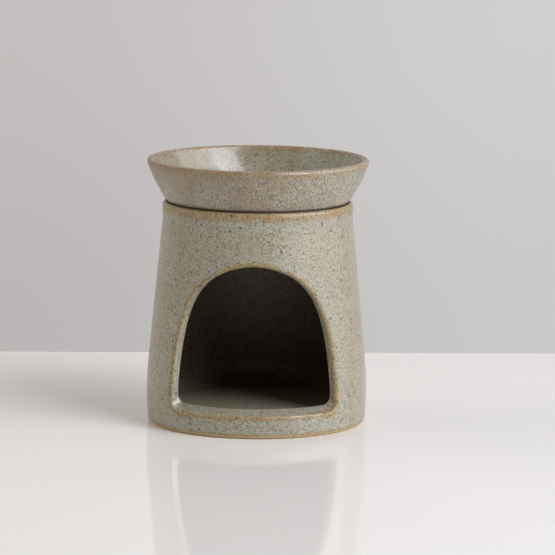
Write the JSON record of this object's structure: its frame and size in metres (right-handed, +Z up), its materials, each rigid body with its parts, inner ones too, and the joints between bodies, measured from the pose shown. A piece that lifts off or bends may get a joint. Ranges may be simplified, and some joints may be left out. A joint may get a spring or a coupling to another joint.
{
  "type": "essential oil burner",
  "caption": "Stoneware oil burner: a tapered round stand with a wide arched front for a tealight, and a shallow flared oil dish that lifts off its rim.",
  "frame": {"origin": "middle of the foot, on the surface that the burner stands on", "axes": "+Z up along the axis of the stand and dish, -Y out through the middle of the arch"},
  "size_m": [0.0998, 0.0998, 0.1194],
  "materials": {
    "stand_glaze": "satin grey-green stoneware glaze with iron speckles",
    "dish_glaze": "satin grey-green stoneware glaze with iron speckles"
  },
  "bodies": {
    "stand": {"stand": "stand_glaze"},
    "dish": {"oil_dish": "dish_glaze"}
  },
  "joints": [
    {"name": "dish_lift", "type": "slide", "parent": "stand", "child": "dish", "axis": [0, 0, 1], "range_m": [0, 0.06]}
  ]
}
